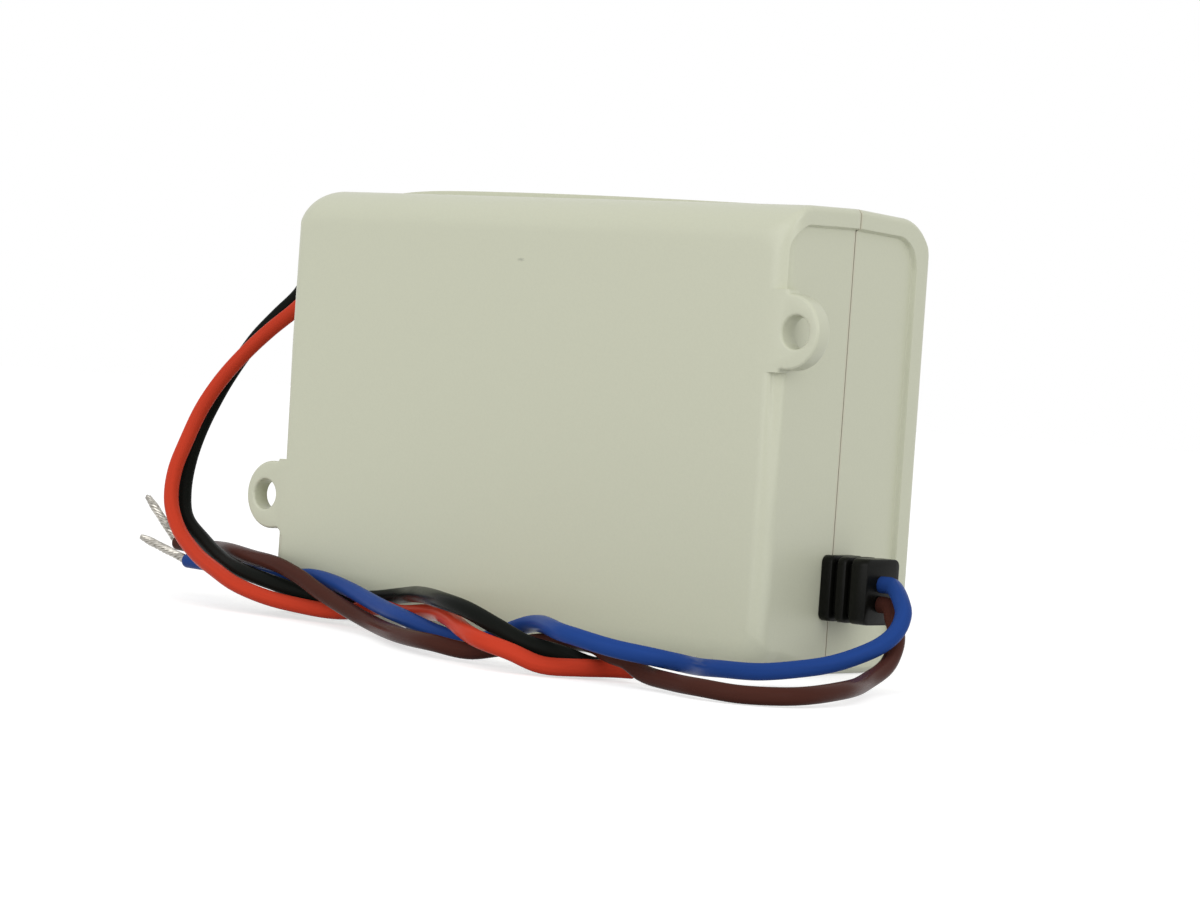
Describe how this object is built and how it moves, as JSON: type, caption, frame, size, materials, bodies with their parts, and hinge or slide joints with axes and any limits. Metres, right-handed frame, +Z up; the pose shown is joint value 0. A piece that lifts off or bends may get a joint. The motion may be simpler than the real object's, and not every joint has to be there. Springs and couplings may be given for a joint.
{
  "type": "led driver",
  "caption": "Sealed plastic LED driver: a rounded box standing on its long side, with diagonal fixing lugs and rubber strain reliefs with free coloured wires.",
  "frame": {"origin": "centre of the case's footprint, on the plane it stands on, without the wires", "axes": "+X along the case towards the input wires, -Y out of the base face that is screwed down, +Z up along the case's width"},
  "size_m": [0.1467, 0.0622, 0.0582],
  "materials": {
    "case_plastic": "fine grained, satin, a light grey with a little green and yellow",
    "label_film": "smooth printed film, left blank",
    "relief_rubber": "moulded, satin black",
    "wire_blue": "extruded insulation, satin",
    "wire_brown": "extruded insulation, satin",
    "wire_red": "extruded insulation, satin",
    "wire_black": "extruded insulation, satin",
    "tinned_copper": "twisted strands dipped in solder",
    "board_laminate": "glass laminate with a green lacquer",
    "sheet_film": "thin milky insulating film",
    "moulding_black": "moulded black plastic",
    "film_yellow": "yellow capacitor box",
    "ferrite": "pressed and fired, dark grey",
    "winding_tape": "yellow tape over the winding",
    "enamelled_copper": "enamelled copper wire",
    "capacitor_sleeve": "shrunk sleeve",
    "disc_blue": "dipped coating",
    "disc_green": "dipped coating",
    "resistor_body": "lacquered ceramic",
    "heatsink_aluminium": "bare sheet"
  },
  "bodies": {
    "root": {"base_shell": "case_plastic", "cover_shell": "case_plastic", "cover_label": "label_film", "strain_relief_input": "relief_rubber", "strain_relief_output": "relief_rubber", "circuit_board": "board_laminate", "insulating_sheet": "sheet_film", "transformer_core": "ferrite", "transformer_winding": "winding_tape", "transformer_pin_rail": "moulding_black", "choke_core": "ferrite", "choke_winding_line": "enamelled_copper", "choke_winding_neutral": "enamelled_copper", "fuse": "moulding_black", "x_capacitor": "film_yellow", "varistor": "disc_blue", "inrush_thermistor": "disc_green", "bridge_rectifier": "moulding_black", "bulk_capacitor": "capacitor_sleeve", "mosfet_heatsink": "heatsink_aluminium", "switching_mosfet": "moulding_black", "controller_chip": "moulding_black", "snubber_resistor": "resistor_body", "safety_capacitor": "disc_blue", "optocoupler": "moulding_black", "output_diode": "moulding_black", "output_capacitor_1": "capacitor_sleeve", "output_capacitor_2": "capacitor_sleeve", "output_choke": "ferrite", "sense_resistor": "resistor_body", "wire_blue": "wire_blue", "tinned_end_blue": "tinned_copper", "inner_lead_blue": "wire_blue", "wire_brown": "wire_brown", "tinned_end_brown": "tinned_copper", "inner_lead_brown": "wire_brown", "wire_red": "wire_red", "tinned_end_red": "tinned_copper", "inner_lead_red": "wire_red", "wire_black": "wire_black", "tinned_end_black": "tinned_copper", "inner_lead_black": "wire_black"}
  },
  "joints": []
}
